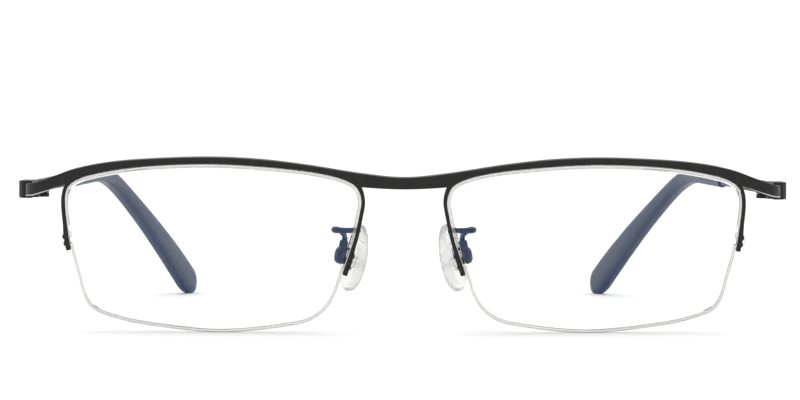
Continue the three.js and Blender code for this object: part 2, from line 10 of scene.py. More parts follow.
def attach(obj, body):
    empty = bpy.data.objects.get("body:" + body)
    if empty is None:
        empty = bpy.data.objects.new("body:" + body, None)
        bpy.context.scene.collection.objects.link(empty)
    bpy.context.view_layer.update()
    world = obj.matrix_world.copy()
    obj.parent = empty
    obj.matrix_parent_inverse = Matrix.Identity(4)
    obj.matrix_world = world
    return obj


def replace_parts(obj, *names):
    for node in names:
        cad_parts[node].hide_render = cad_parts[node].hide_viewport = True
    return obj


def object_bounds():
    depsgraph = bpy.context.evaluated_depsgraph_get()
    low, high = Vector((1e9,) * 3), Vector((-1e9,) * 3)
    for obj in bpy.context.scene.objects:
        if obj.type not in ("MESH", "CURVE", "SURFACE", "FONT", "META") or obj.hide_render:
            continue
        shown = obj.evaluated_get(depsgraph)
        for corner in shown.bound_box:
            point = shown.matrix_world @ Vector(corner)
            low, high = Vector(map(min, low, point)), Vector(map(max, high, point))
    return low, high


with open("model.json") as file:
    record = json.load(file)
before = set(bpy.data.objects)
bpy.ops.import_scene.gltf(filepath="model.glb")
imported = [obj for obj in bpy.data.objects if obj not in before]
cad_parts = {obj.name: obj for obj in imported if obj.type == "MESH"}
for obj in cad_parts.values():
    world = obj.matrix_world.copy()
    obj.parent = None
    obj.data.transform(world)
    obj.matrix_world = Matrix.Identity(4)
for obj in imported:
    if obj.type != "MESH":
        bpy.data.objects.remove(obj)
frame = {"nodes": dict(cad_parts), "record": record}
cad_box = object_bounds()

MM = 0.001  # the shapes below are worked out in millimetres
JOINTS = {joint["name"]: joint for joint in frame["record"]["behaviour"]["joints"]}

# ------------------------------------------------------------------ driving dimensions, in mm
# The front's surface: it leans back and is curved about the middle of each lens.
LEAN = math.radians(8)
BASE_RADIUS = 130.0
FACE_FORM = 0.105  # slope of the plan at the middle of the lens
LENS_CENTRE = np.array([35.6, 16.0])
BRIDGE_HALF = 9.0

# Lens, cord and liner
LENS_THICKNESS = 1.8
LENS_FRONT = -0.1
LENS_BACK = LENS_FRONT + LENS_THICKNESS
GROOVE_WIDTH = 0.62
GROOVE_DEPTH = 0.62
GROOVE_FRONT = (LENS_FRONT + LENS_BACK - GROOVE_WIDTH) / 2
GROOVE_BACK = (LENS_FRONT + LENS_BACK + GROOVE_WIDTH) / 2
POLISH = 0.1  # the small bevel on both rims of the edge
EDGING = 0.7  # width of the band that holds the groove
SKIN = 0.08  # thickness of the matt ground skin, which stands just proud of the glass
PROUD = 0.004
CORD_RADIUS = 0.25
CORD_INSET = 0.27
LINER_INSET = 0.22

# Half rims and their cord holes
RIM_GAP = 0.1
RIM_WIDTH = 0.7
RIM_DEPTH = 1.6
RIM_ROUND = 0.16
EYELET_RADIUS, EYELET_TOP = 0.5, 1.1
HOLE_RADIUS = 0.34
NASAL_HOLES = (12.1, 14.1)
TEMPORAL_HOLES = (16.1, 17.4)
TEMPORAL_LEG_END = 14.9
LEG_FLARE = 0.2
FLARE_FROM_END = (2.5, 5.5)
OUTSIDE_LEG = EYELET_TOP + CORD_RADIUS + 0.14

# Brow bar, its turned ends and the hinge
BAR_DEPTH = 1.8
BAR_FRONT = -0.1
BAR_ROUND = 0.26
END_THICKNESS = 1.2
CORNER_START = 66.9
CORNER_RADIUS = 4.5
END_LENGTH = 1.88
# Painted highlight strip along the end piece's foot: where it starts and its radius
BRIGHT_START = 63.8
BRIGHT_RADIUS = 0.13
HINGE_Y = 12.0

# Temples: distances s run along the temple from its butt face
TEMPLE_START = (71.15, 10.8, 26.0)
TEMPLE_LENGTH = 148.0
TEMPLE_SWEEP = (math.radians(7.8), math.radians(16.6))
TEMPLE_DROP = (math.radians(-0.9), math.radians(23), math.radians(29.15))
BEND_START, BEND_END = 71.0, 101.0
BLOCK_HEIGHT, STRIP_HEIGHT = 3.25, 2.4
BLOCK_THICKNESS, STRIP_THICKNESS = 2.65, 1.1
BLOCK_END, STRIP_START = 5, 11
BUTT_CHAMFER, BUTT_BREAK = 0.9, 0.12
CORE_HEIGHT, CORE_THICKNESS, CORE_END = 1.6, 0.9, 137.5
TIP_START = 54.0
SHOULDER_GAP = 0.1  # between the strip's shoulder and the mouth of the sleeve
SLEEVE_CLEARANCE = 0.1
SLEEVE_HEIGHT = (3.3, 6.4)
SLEEVE_THICKNESS = (1.9, 2.9)
WIDENING_START, WIDENING_END = 88, TEMPLE_LENGTH - 2
TIP_TOP_ROUND, TIP_BOTTOM_ROUND = 3.5, 8.0

# Nose pads, their cups and wires
PAD_U, PAD_H, PAD_W = 8.95, 12.07, 10.2
PAD_SPLAY, PAD_TILT = math.radians(27), math.radians(12)
PAD_HALF_WIDTH, PAD_HALF_LENGTH, PAD_HALF_THICKNESS = 3.85, 6.4, 1.3
PAD_TAPER = 0.12
CUP_HALF_WIDTH, CUP_HALF_HEIGHT, CUP_WALL = 1.3, 1.65, 0.35
CUP_BACK, CUP_MOUTH = -4.1, -1.9
WIRE_RADIUS = 0.5
WIRE_ROUTE = [  # (u, h, w) from the back of the leg, round the knee and down
    (8.48, 18.6, RIM_DEPTH + 0.1), (8.7, 18.6, 2.5), (10.6, 18.5, 3.1), (12.3, 18.4, 4.0),
    (12.85, 18.3, 5.1), (12.2, 18.1, 6.3), (11.4, 17.4, 7.1),
]

# Table, light and camera
TABLE_HALF = 3.0  # metres
SKY_STRENGTH = 1.1
LAMP_WATTS = 4.0
EYE_DISTANCE, EYE_HEIGHT, EYE_ASIDE = 860.0, 50.0, -0.75
EYE_LEFT, EYE_DOWN, EYE_TILT = math.radians(0.8), math.radians(1.7), math.radians(0.15)
FOCAL_LENGTH = 210.4

# The lens outline (u, h), from the end of the nasal leg up, over the top and round.
LENS_KNOTS = [
    (11.42, 10.75), (9.41, 16.8), (8.42, 21.2), (7.99, 24.4), (8.77, 26.75), (10.72, 27.99),
    (14.76, 29.15), (22.1, 30.16), (36.0, 30.98), (50.0, 30.22), (57.2, 28.96), (59.67, 28.2),
    (61.64, 26.9), (62.4, 24.7), (61.85, 17.8), (61.31, 14.91), (60.05, 10.0), (59.1, 6.6),
    (57.5, 4.2), (52.3, 2.2), (45.6, 1.03), (34.0, 0.0), (22.3, 1.06), (17.4, 2.15),
    (14.38, 4.3), (12.52, 7.4),
]
BAR_TOP = [
    (0, 28.58), (7.4, 29.26), (18.4, 30.96), (27.5, 31.96), (36.9, 32.27), (48, 31.84),
    (55.4, 31.1), (60.9, 29.97), (64.6, 28.67), (67.5, 27.65), (70.2, 27.22), (74, 27.15), (84, 27.15),
]
BRIDGE_EDGE = [(0, 26.45), (3.7, 26.55), (7, 26.77), (9, 27.0), (11, 27.2)]
END_EDGE = [
    (60.9, 27.75), (62.6, 27.12), (64.75, 26.28), (67.2, 25.48), (69.6, 25.0), (74, 24.88), (84, 24.88),
]

# The CAD model's middle and table, from one joint and from its box.
SHIFT = np.array([0.0, JOINTS["left_temple_fold"]["pos_m"][1] / MM - HINGE_Y, cad_box[0][2] / MM])


# ------------------------------------------------------------------ curves
def smoothstep(value, low, high):
    t = np.clip((value - low) / (high - low), 0.0, 1.0)
    return t * t * (3 - 2 * t)


def lerp(a, b, t):
    return a + (b - a) * t


def centripetal(knots, closed, per_span=40):
    """A smooth curve through the knots, as a dense row of points."""
    points = np.asarray(knots, dtype=float)
    if closed:
        padded = np.vstack([points[-1], points, points[:2]])
    else:
        padded = np.vstack([2 * points[0] - points[1], points, 2 * points[-1] - points[-2]])
    t = np.linspace(0, 1, per_span, endpoint=False)[:, None]
    rows = []
    for p0, p1, p2, p3 in zip(padded, padded[1:], padded[2:], padded[3:]):
        d0, d1, d2 = (max(np.linalg.norm(b - a), 1e-9) ** 0.5 for a, b in ((p0, p1), (p1, p2), (p2, p3)))
        m1 = ((p1 - p0) / d0 - (p2 - p0) / (d0 + d1) + (p2 - p1) / d1) * d1
        m2 = ((p2 - p1) / d1 - (p3 - p1) / (d1 + d2) + (p3 - p2) / d2) * d1
        square, cube = 3 * (p2 - p1) - 2 * m1 - m2, 2 * (p1 - p2) + m1 + m2
        rows.append(p1 + m1 * t + square * t ** 2 + cube * t ** 3)
    if not closed:
        rows.append(points[-1:])
    return np.vstack(rows)


def spaced(points, count, closed=False):
    """Points resampled to equal steps along their length."""
    path = np.vstack([points, points[:1]]) if closed else points
    length = np.concatenate([[0], np.cumsum(np.linalg.norm(np.diff(path, axis=0), axis=1))])
    at = np.linspace(0, length[-1], count + 1)[:-1] if closed else np.linspace(0, length[-1], count)
    return np.column_stack([np.interp(at, length, path[:, i]) for i in range(path.shape[1])])


def spline_heights(knots):
    """Height as a function of u along a smooth curve through the knots."""
    points = np.asarray(knots, dtype=float)
    before = points[1] * (-1, 1) if points[0][0] == 0 else points[0]  # level across the middle
    padded = np.vstack([before, points, points[-1]])
    t = np.linspace(0, 1, 30, endpoint=False)[:, None]
    rows = [
        p1 + (p2 - p0) / 2 * t + (3 * (p2 - p1) - (p2 - p0) - (p3 - p1) / 2) * t ** 2
        + (2 * (p1 - p2) + (p2 - p0) / 2 + (p3 - p1) / 2) * t ** 3
        for p0, p1, p2, p3 in zip(padded, padded[1:], padded[2:], padded[3:])
    ]
    curve = np.vstack(rows + [points[-1:]])
    return lambda u: np.interp(u, curve[:, 0], curve[:, 1], left=-1e9, right=-1e9)


# ------------------------------------------------------------------ the front's curved surface
def plan_depth(u):
    def outer(x):
        return (x - LENS_CENTRE[0]) ** 2 / (2 * BASE_RADIUS) + FACE_FORM * (x - LENS_CENTRE[0])

    slope = (BRIDGE_HALF - LENS_CENTRE[0]) / BASE_RADIUS + FACE_FORM
    inner = outer(BRIDGE_HALF) + slope * (u * u - BRIDGE_HALF ** 2) / (2 * BRIDGE_HALF)
    return np.where(u >= BRIDGE_HALF, outer(u), inner)


def plan_heading(u):
    edge_slope = (BRIDGE_HALF - LENS_CENTRE[0]) / BASE_RADIUS + FACE_FORM
    outer = (u - LENS_CENTRE[0]) / BASE_RADIUS + FACE_FORM
    return np.arctan(np.where(u >= BRIDGE_HALF, outer, edge_slope * u / BRIDGE_HALF))


def front_point(u, h, w=0.0):
    """A place on the front: u from the middle, h above the lens bottom, w behind the surface."""
    u, h, w = np.broadcast_arrays(np.asarray(u, float), np.asarray(h, float), np.asarray(w, float))
    bow = (h - LENS_CENTRE[1]) ** 2 / (2 * BASE_RADIUS)
    y = plan_depth(u) + bow - h * math.tan(LEAN) + w * math.cos(LEAN)
    return np.stack([u, y, h + w * math.sin(LEAN)], axis=-1)


OUTLINE = spaced(centripetal(LENS_KNOTS, closed=True), 360, closed=True)


def outward(points):
    along = np.roll(points, -1, axis=0) - np.roll(points, 1, axis=0)
    along /= np.linalg.norm(along, axis=1)[:, None]
    return np.column_stack([-along[:, 1], along[:, 0]])


OUTLINE_NORMAL = outward(OUTLINE)
RIM_END = int(np.argmax((OUTLINE[:, 0] > LENS_CENTRE[0]) & (OUTLINE[:, 1] < TEMPORAL_LEG_END)))


def side_point(side, h, distance):
    """A point at a height on one side of the lens, moved outwards by a distance."""
    def crossing(outline):
        following = np.roll(outline, -1, axis=0)
        right = outline[:, 0] > LENS_CENTRE[0]
        crosses = (outline[:, 1] - h) * (following[:, 1] - h) <= 0
        i = int(np.argmax((right == (side == "temporal")) & crosses & (outline[:, 1] != following[:, 1])))
        a, b = outline[i], following[i]
        return a + (b - a) * (h - a[1]) / (b[1] - a[1])

    edge = crossing(OUTLINE)
    return np.array([edge[0] + (crossing(OUTLINE + OUTLINE_NORMAL)[0] - edge[0]) * distance, edge[1]])


# ------------------------------------------------------------------ meshes
def new_piece(name, vertices, faces, material, body, slot, sharp=35):
    """One object from points in mm, shaded smooth with its sharp edges kept."""
    mesh = bpy.data.meshes.new(name)
    mesh.from_pydata([tuple((np.asarray(v) + SHIFT) * MM) for v in vertices], [], faces)
    mesh.polygons.foreach_set("use_smooth", [True] * len(mesh.polygons))
    mesh.set_sharp_from_angle(angle=math.radians(sharp))
    mesh.materials.append(material)
    mesh.update()
    piece = bpy.data.objects.new(name, mesh)
    bpy.context.scene.collection.objects.link(piece)
    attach(piece, body)
    return piece


def loft(rings, cap=True):
    """Vertices and outward faces of a closed solid through a row of rings."""
    rings = [np.asarray(ring, dtype=float) for ring in rings]
    count = len(rings[0])
    vertices = [tuple(v) for ring in rings for v in ring]
    faces = []
    for a in range(0, (len(rings) - 1) * count, count):
        for j in range(count):
            k = (j + 1) % count
            faces.append((a + j, a + count + j, a + count + k, a + k))
    if cap:
        last = (len(rings) - 1) * count
        vertices += [tuple(rings[0].mean(axis=0)), tuple(rings[-1].mean(axis=0))]
        for j in range(count):
            k = (j + 1) % count
            faces.append((len(vertices) - 2, j, k))
            faces.append((len(vertices) - 1, last + k, last + j))
    return outward_faces(vertices, faces)


def hoop(rings):
    """A closed hoop whose section runs through a row of rings and back to the first."""
    count = len(rings[0])
    vertices = [tuple(v) for ring in rings for v in ring]
    total = len(vertices)
    faces = [
        (a + j, (a + count) % total + j, (a + count) % total + (j + 1) % count, a + (j + 1) % count)
        for a in range(0, total, count) for j in range(count)
    ]
    return outward_faces(vertices, faces)


def outward_faces(vertices, faces):
    points = np.asarray(vertices)
    volume = 0.0
    for face in faces:
        a = points[face[0]]
        for b, c in zip(face[1:], face[2:]):
            volume += float(a @ np.cross(points[b], points[c]))
    return vertices, faces if volume > 0 else [tuple(reversed(face)) for face in faces]


def mirrored(shape):
    vertices, faces = shape
    return [(-x, y, z) for x, y, z in vertices], [tuple(reversed(face)) for face in faces]


def for_side(shape, side):
    return shape if side == "left" else mirrored(shape)


def rounded_rectangle(left, right, bottom, top, radius, steps=4):
    radius = min(radius, (right - left) / 2 - 1e-3, (top - bottom) / 2 - 1e-3)
    corners = [(right - radius, top - radius, 0), (left + radius, top - radius, 90),
               (left + radius, bottom + radius, 180), (right - radius, bottom + radius, 270)]
    return [
        (x + radius * math.cos(math.radians(start + 90 * i / steps)),
         y + radius * math.sin(math.radians(start + 90 * i / steps)))
        for x, y, start in corners for i in range(steps + 1)
    ]


def tube(points, radii, sides=16):
    points = np.asarray(points, dtype=float)
    radii = np.broadcast_to(radii, len(points))
    along = np.gradient(points, axis=0)
    along /= np.linalg.norm(along, axis=1)[:, None]
    normal = np.cross((0, 0, 1), along[0])
    normal /= np.linalg.norm(normal)
    angles = np.linspace(0, 2 * np.pi, sides, endpoint=False)[:, None]
    rings = []
    for point, direction, radius in zip(points, along, radii):
        normal = normal - direction * (normal @ direction)
        normal /= np.linalg.norm(normal)
        across = np.cross(direction, normal)
        rings.append(point + radius * (np.cos(angles) * normal + np.sin(angles) * across))
    return loft(rings)


# ------------------------------------------------------------------ materials
def principled(name, **values):
    material = bpy.data.materials.new(name)
    material.use_nodes = True
    shader = material.node_tree.nodes["Principled BSDF"]
    for socket, value in values.items():
        shader.inputs[socket.replace("_", " ")].default_value = value
    return material, shader


def noise(material, scale, detail=2.0, roughness=0.5):
    nodes, links = material.node_tree.nodes, material.node_tree.links
    place = nodes.new("ShaderNodeTexCoord")
    texture = nodes.new("ShaderNodeTexNoise")
    texture.inputs["Scale"].default_value = scale
    texture.inputs["Detail"].default_value = detail
    texture.inputs["Roughness"].default_value = roughness
    links.new(place.outputs["Object"], texture.inputs["Vector"])
    return texture.outputs["Fac"]


def ramp(material, source, low, high, dark, light):
    """Colours between dark and light as source runs from low to high."""
    nodes, links = material.node_tree.nodes, material.node_tree.links
    colours = nodes.new("ShaderNodeValToRGB")
    colours.color_ramp.elements[0].position = low
    colours.color_ramp.elements[1].position = high
    colours.color_ramp.elements[0].color = (*dark, 1)
    colours.color_ramp.elements[1].color = (*light, 1)
    links.new(source, colours.inputs["Fac"])
    return colours.outputs["Color"]


def spread(material, source, low, high):
    """Source, from 0 to 1, spread over low to high."""
    nodes, links = material.node_tree.nodes, material.node_tree.links
    change = nodes.new("ShaderNodeMapRange")
    change.inputs["From Min"].default_value = 0.3
    change.inputs["From Max"].default_value = 0.7
    change.inputs["To Min"].default_value = low
    change.inputs["To Max"].default_value = high
    links.new(source, change.inputs["Value"])
    return change.outputs["Result"]


def bump(material, shader, source, strength, distance):
    nodes, links = material.node_tree.nodes, material.node_tree.links
    relief = nodes.new("ShaderNodeBump")
    relief.inputs["Strength"].default_value = strength
    relief.inputs["Distance"].default_value = distance
    links.new(source, relief.inputs["Height"])
    links.new(relief.outputs["Normal"], shader.inputs["Normal"])


def lacquered_metal():
    """Satin black lacquer: fine orange peel and a slightly uneven sheen."""
    material, shader = principled("black_lacquer", Metallic=0.0, Specular_IOR_Level=0.24)
    links = material.node_tree.links
    cloud = noise(material, 900, 3)
    links.new(ramp(material, cloud, 0.35, 0.65, (0.0085, 0.0078, 0.0075), (0.0125, 0.0115, 0.011)),
              shader.inputs["Base Color"])
    links.new(spread(material, noise(material, 2500, 2), 0.36, 0.46), shader.inputs["Roughness"])
    bump(material, shader, noise(material, 9000, 2), 0.12, 0.00002)
    return material


def dark_steel():
    """Burnished gunmetal for screws: fine turning marks."""
    material, shader = principled("dark_steel", Metallic=0.9)
    links = material.node_tree.links
    links.new(ramp(material, noise(material, 1500, 3), 0.3, 0.7, (0.05, 0.05, 0.055), (0.09, 0.09, 0.095)),
              shader.inputs["Base Color"])
    links.new(spread(material, noise(material, 4000, 2), 0.26, 0.4), shader.inputs["Roughness"])
    bump(material, shader, noise(material, 12000, 2), 0.1, 0.00002)
    return material


def tip_plastic():
    """Black acetate, polished but softened by handling."""
    material, shader = principled("tip_acetate", Specular_IOR_Level=0.17)
    links = material.node_tree.links
    cloud = noise(material, 300, 3)
    links.new(ramp(material, cloud, 0.35, 0.65, (0.009, 0.009, 0.010), (0.014, 0.014, 0.016)),
              shader.inputs["Base Color"])
    links.new(spread(material, noise(material, 1200, 3), 0.3, 0.42), shader.inputs["Roughness"])
    bump(material, shader, noise(material, 250, 1), 0.03, 0.00002)
    return material


def lens_glass():
    """Polished lens with a blue-reflecting coat."""
    material, shader = principled(
        "coated_lens", Base_Color=(0.985, 0.992, 1.0, 1), Roughness=0.0, IOR=1.5,
        Transmission_Weight=1.0, Specular_IOR_Level=0.75, Specular_Tint=(0.22, 0.42, 1.0, 1),
    )
    bump(material, shader, noise(material, 60, 1), 0.02, 0.0001)
    return material


def clear_nylon():
    material, shader = principled(
        "clear_nylon", Base_Color=(0.96, 0.96, 0.95, 1), IOR=1.35, Transmission_Weight=0.85)
    material.node_tree.links.new(spread(material, noise(material, 3000, 2), 0.15, 0.3),
                                 shader.inputs["Roughness"])
    return material


def silicone():
    """Clear soft silicone, a little cloudy, with moulding haze."""
    material, shader = principled(
        "clear_silicone", Base_Color=(0.985, 0.99, 0.98, 1), IOR=1.33, Transmission_Weight=0.8,
        Specular_IOR_Level=0.4)
    material.node_tree.links.new(spread(material, noise(material, 700, 3), 0.12, 0.3),
                                 shader.inputs["Roughness"])
    bump(material, shader, noise(material, 900, 2), 0.12, 0.0001)
    return material


def clear_plastic():
    material, shader = principled(
        "clear_polycarbonate", Base_Color=(0.9, 0.93, 0.95, 1), IOR=1.58, Transmission_Weight=0.95)
    material.node_tree.links.new(spread(material, noise(material, 1500, 2), 0.04, 0.12),
                                 shader.inputs["Roughness"])
    return material


def painted_highlight_metal():
    """Light metal for a painted highlight: the strip that stands in for the white table's reflection along
    the end piece's rounded edge.
    """
    material, shader = principled("painted_highlight_metal", Metallic=1.0)
    links = material.node_tree.links
    links.new(ramp(material, noise(material, 2000, 2), 0.3, 0.7, (0.36, 0.36, 0.37), (0.44, 0.44, 0.45)),
              shader.inputs["Base Color"])
    links.new(spread(material, noise(material, 3000, 2), 0.28, 0.4), shader.inputs["Roughness"])
    return material


def ground_glass():
    """The matt, fine-ground edge of the lens."""
    material, shader = principled(
        "ground_lens_edge", Base_Color=(0.95, 0.945, 0.935, 1), IOR=1.5, Transmission_Weight=0.25,
        Specular_IOR_Level=0.2)
    material.node_tree.links.new(spread(material, noise(material, 4000, 2), 0.5, 0.65),
                                 shader.inputs["Roughness"])
    return material


def lens_edge_glass():
    """The lens past its coat, where the edging wheel has been."""
    material, shader = principled(
        "lens_edging", Base_Color=(0.97, 0.97, 0.96, 1), IOR=1.07, Transmission_Weight=1.0)
    material.node_tree.links.new(spread(material, noise(material, 2500, 2), 0.05, 0.15),
                                 shader.inputs["Roughness"])
    return material


# Light metal that paints the highlight on the end piece's edge
PAINTED_HIGHLIGHT = painted_highlight_metal()
GROUND = ground_glass()
EDGE = lens_edge_glass()
BLACK = lacquered_metal()
STEEL = dark_steel()
TIP = tip_plastic()
LENS = lens_glass()
NYLON = clear_nylon()
SILICONE = silicone()
CLEAR = clear_plastic()


# ------------------------------------------------------------------ front frame
bar_top = spline_heights(BAR_TOP)
bridge_edge = spline_heights(BRIDGE_EDGE)
end_edge = spline_heights(END_EDGE)
RIM_MIDDLE = (OUTLINE + OUTLINE_NORMAL * (RIM_GAP + RIM_WIDTH / 2))[:RIM_END]
RIM_TOP = RIM_MIDDLE[1:][np.diff(RIM_MIDDLE[:, 0]) > 0]
TURN = math.pi / 2 + TEMPLE_SWEEP[0] - float(plan_heading(CORNER_START))


def bar_bottom(u):
    rim = np.interp(u, RIM_TOP[:, 0], RIM_TOP[:, 1], left=-1e9, right=-1e9)
    return float(max(bridge_edge(u), rim, end_edge(u)))


def bar_frame(s):
    """The bar's middle, inward and up directions, half height and depth at a distance s along it."""
    turned = min(max(s - CORNER_START, 0), CORNER_RADIUS * TURN) / CORNER_RADIUS
    straight = max(0.0, s - CORNER_START - CORNER_RADIUS * TURN)
    front = min(s, CORNER_START)
    start = float(plan_heading(front))
    heading = start + turned
    x = front + CORNER_RADIUS * (math.sin(heading) - math.sin(start)) + straight * math.cos(heading)
    back = CORNER_RADIUS * (math.cos(start) - math.cos(heading)) + straight * math.sin(heading)
    bottom, top = bar_bottom(s), float(bar_top(s))
    middle = front_point(front, (bottom + top) / 2)
    lean = LEAN * (1 - smoothstep(turned, 0, 1))
    up = np.array([0, -math.sin(lean), math.cos(lean)])
    inward = np.cross(up, [math.cos(heading), math.sin(heading), 0])
    inward /= np.linalg.norm(inward)
    centre = np.array([x, middle[1] + back, middle[2]])
    half = (top - bottom) / 2 / math.cos(lean)
    depth = lerp(BAR_DEPTH, END_THICKNESS, smoothstep(s, 60, CORNER_START + 3))
    return centre, inward, up, half, depth


def bar_ring(s, shrink=1.0):
    centre, inward, up, half, depth = bar_frame(s)
    outline = rounded_rectangle(BAR_FRONT, BAR_FRONT + depth, -half, half, BAR_ROUND)
    middle_w = BAR_FRONT + depth / 2
    return [centre + inward * (middle_w + (w - middle_w) * shrink) + up * v * shrink for w, v in outline]


BAR_END = CORNER_START + CORNER_RADIUS * TURN + END_LENGTH


def painted_highlight_edge():
    """A painted highlight: a light metal strip sunk into the foot of the end piece and up its end, standing
    in for the rounded edge's reflection of the white table.
    """
    sunk = 0.09  # depth of its middle below the surface
    path = []
    for s in np.linspace(BRIGHT_START, BAR_END - sunk, 50):
        centre, inward, up, half, _ = bar_frame(s)
        path.append(centre + inward * (BAR_FRONT + sunk) + up * (sunk - half))
    rise = np.linspace(sunk - half, half - sunk, 12)[1:]
    path += [centre + inward * (BAR_FRONT + sunk) + up * v for v in rise]
    radii = np.interp(range(len(path)), [0, 14, len(path)], [0.05, BRIGHT_RADIUS, BRIGHT_RADIUS])
    return tube(path, radii, 12)


def brow_bar():
    end = BAR_END
    stations = np.concatenate([
        np.arange(0, 7, 0.5), np.arange(7, 13, 0.2), np.arange(13, 56, 0.7), np.arange(56, end - 0.25, 0.3),
    ])
    left = [bar_ring(s) for s in stations[1:]]
    left += [
        bar_ring(end - back, shrink) for back, shrink in ((0.25, 1), (0.12, 0.97), (0.03, 0.9), (0, 0.8))
    ]
    flip = np.array([-1, 1, 1])
    right = [[p * flip for p in ring] for ring in left][::-1]
    return loft([*right, bar_ring(0.0), *left])


def half_rim():
    """The ribbon round the top of the lens and down both legs, which widen towards their ends."""
    outline, normal = OUTLINE[:RIM_END], OUTLINE_NORMAL[:RIM_END]
    step = float(np.linalg.norm(OUTLINE[1] - OUTLINE[0]))
    rings = []
    for i, (point, out) in enumerate(zip(outline, normal)):
        from_end = min(i, len(outline) - 1 - i) * step
        flare = LEG_FLARE * (1 - smoothstep(from_end, *FLARE_FROM_END))
        shy = 0.0 if from_end > 0 else 0.1
        width = RIM_WIDTH + flare
        section = rounded_rectangle(shy, width - shy, shy, RIM_DEPTH - shy, RIM_ROUND)
        rings.append([front_point(*(point + out * (RIM_GAP + x)), w) for x, w in section])
        if from_end == 0:  # the broken edge of the leg's end
            near = outline[1] if i == 0 else outline[-2]
            edge = point + (near - point) * 0.1 / step
            section = rounded_rectangle(0, width, 0, RIM_DEPTH, RIM_ROUND)
            ring = [front_point(*(edge + out * (RIM_GAP + x)), w) for x, w in section]
            rings.insert(len(rings) if i == 0 else -1, ring)
    return loft(rings)


def eyelet(side, h):
    """The raised collar round a cord hole, with a rounded lip and a dished mouth."""
    profile = [  # distance out from the lens, radius
        (0.4, EYELET_RADIUS), (EYELET_TOP - 0.1, EYELET_RADIUS), (EYELET_TOP - 0.02, EYELET_RADIUS - 0.03),
        (EYELET_TOP, EYELET_RADIUS - 0.1), (EYELET_TOP - 0.04, HOLE_RADIUS), (0.5, HOLE_RADIUS),
    ]
    places = [side_point(side, h, distance) for distance, _ in profile]
    centres = [front_point(x, z, RIM_DEPTH / 2) for x, z in places]
    along = centres[1] - centres[0]
    along /= np.linalg.norm(along)
    normal = np.cross((0, 0, 1), along)
    normal /= np.linalg.norm(normal)
    across = np.cross(along, normal)
    angles = np.linspace(0, 2 * np.pi, 24, endpoint=False)[:, None]
    spokes = np.cos(angles) * normal + np.sin(angles) * across
    return loft([centre + radius * spokes for centre, (_, radius) in zip(centres, profile)])


def front_frame():
    bar = new_piece("brow_bar", *brow_bar(), BLACK, "front", "black_metal")
    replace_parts(bar, "front_frame")
    for side in ("left", "right"):
        # A painted highlight strip along the end piece's foot and end
        edge = new_piece(f"{side}_bright_edge", *for_side(painted_highlight_edge(), side), PAINTED_HIGHLIGHT, "front", "steel")
        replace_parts(edge, "front_frame")
        rim = new_piece(f"{side}_half_rim", *for_side(half_rim(), side), BLACK, "front", "black_metal")
        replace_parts(rim, "front_frame")
        for place, heights in (("nasal", NASAL_HOLES), ("temporal", TEMPORAL_HOLES)):
            for level, h in zip(("low", "high"), heights):
                shape = for_side(eyelet(place, h), side)
                name = f"{side}_{place}_{level}_eyelet"
                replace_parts(new_piece(name, *shape, BLACK, "front", "black_metal"), "front_frame")


# ------------------------------------------------------------------ lenses, cords and liners
def lens_ring(inset, w, scale=1.0):
    points = (OUTLINE - OUTLINE_NORMAL * inset - LENS_CENTRE) * scale + LENS_CENTRE
    return front_point(points[:, 0], points[:, 1], w)


def lens_shape():
    """The lens inside its rim of edging, a curved plate."""
    scales = (0.004, 0.015, 0.035, 0.07, 0.12, 0.18, 0.25, 0.33, 0.42, 0.52, 0.62, 0.72, 0.82, 0.91, 1)
    return loft([
        *(lens_ring(EDGING, LENS_FRONT, scale) for scale in scales),
        *(lens_ring(EDGING, LENS_BACK, scale) for scale in reversed(scales)),
    ])


def lens_edging():
    """The uncoated outer band of the lens, with its groove."""
    profile = [
        (EDGING - PROUD, LENS_FRONT), (POLISH, LENS_FRONT), (0, LENS_FRONT + POLISH), (0, GROOVE_FRONT),
        (GROOVE_DEPTH * 0.8, GROOVE_FRONT), (GROOVE_DEPTH, lerp(GROOVE_FRONT, GROOVE_BACK, 0.25)),
        (GROOVE_DEPTH, lerp(GROOVE_FRONT, GROOVE_BACK, 0.75)), (GROOVE_DEPTH * 0.8, GROOVE_BACK),
        (0, GROOVE_BACK), (0, LENS_BACK - POLISH), (POLISH, LENS_BACK), (EDGING - PROUD, LENS_BACK),
    ]
    return hoop([lens_ring(inset, w) for inset, w in profile])


def ground_edge(face, groove):
    """The matt ground skin on the land between a face and the groove."""
    inward = math.copysign(1, groove - face)
    profile = [
        (SKIN, face + inward * POLISH), (-PROUD, face + inward * POLISH),
        (-PROUD, groove - inward * PROUD), (SKIN, groove - inward * PROUD),
    ]
    return hoop([lens_ring(inset, w) for inset, w in profile])


def rounded_corners(points, radius, steps):
    points = [np.asarray(p, dtype=float) for p in points]
    path = [points[0]]
    for before, corner, after in zip(points, points[1:], points[2:]):
        start = corner + (before - corner) / np.linalg.norm(before - corner) * radius
        end = corner + (after - corner) / np.linalg.norm(after - corner) * radius
        for t in np.linspace(0, 1, steps + 1):
            path.append((1 - t) ** 2 * start + 2 * t * (1 - t) * corner + t * t * end)
    return [*path, points[-1]]


def cord_loop(side, entry, first, second, leave):
    """Out of the groove through one hole and back in through the other."""
    corners = [(-CORD_INSET, entry), (-CORD_INSET, first), (OUTSIDE_LEG, first),
               (OUTSIDE_LEG, second), (-CORD_INSET, second), (-CORD_INSET, leave)]
    return [side_point(side, h, distance) for distance, h in rounded_corners(corners, 0.28, 8)]


def lens_cord():
    low, high = NASAL_HOLES
    temporal_low, temporal_high = TEMPORAL_HOLES
    temporal = cord_loop("temporal", temporal_high + 1, temporal_high, temporal_low, temporal_low - 1)
    nasal = cord_loop("nasal", low - 1, low, high, high + 1)
    groove = OUTLINE - OUTLINE_NORMAL * CORD_INSET
    limit = np.where(OUTLINE[:, 0] < LENS_CENTRE[0], low - 1.8, temporal_low - 1.8)
    groove = groove[(np.arange(len(groove)) >= RIM_END) & (groove[:, 1] < limit)]
    path = np.array([*temporal, *groove, *nasal])
    return tube(front_point(path[:, 0], path[:, 1], RIM_DEPTH / 2), CORD_RADIUS, 12)


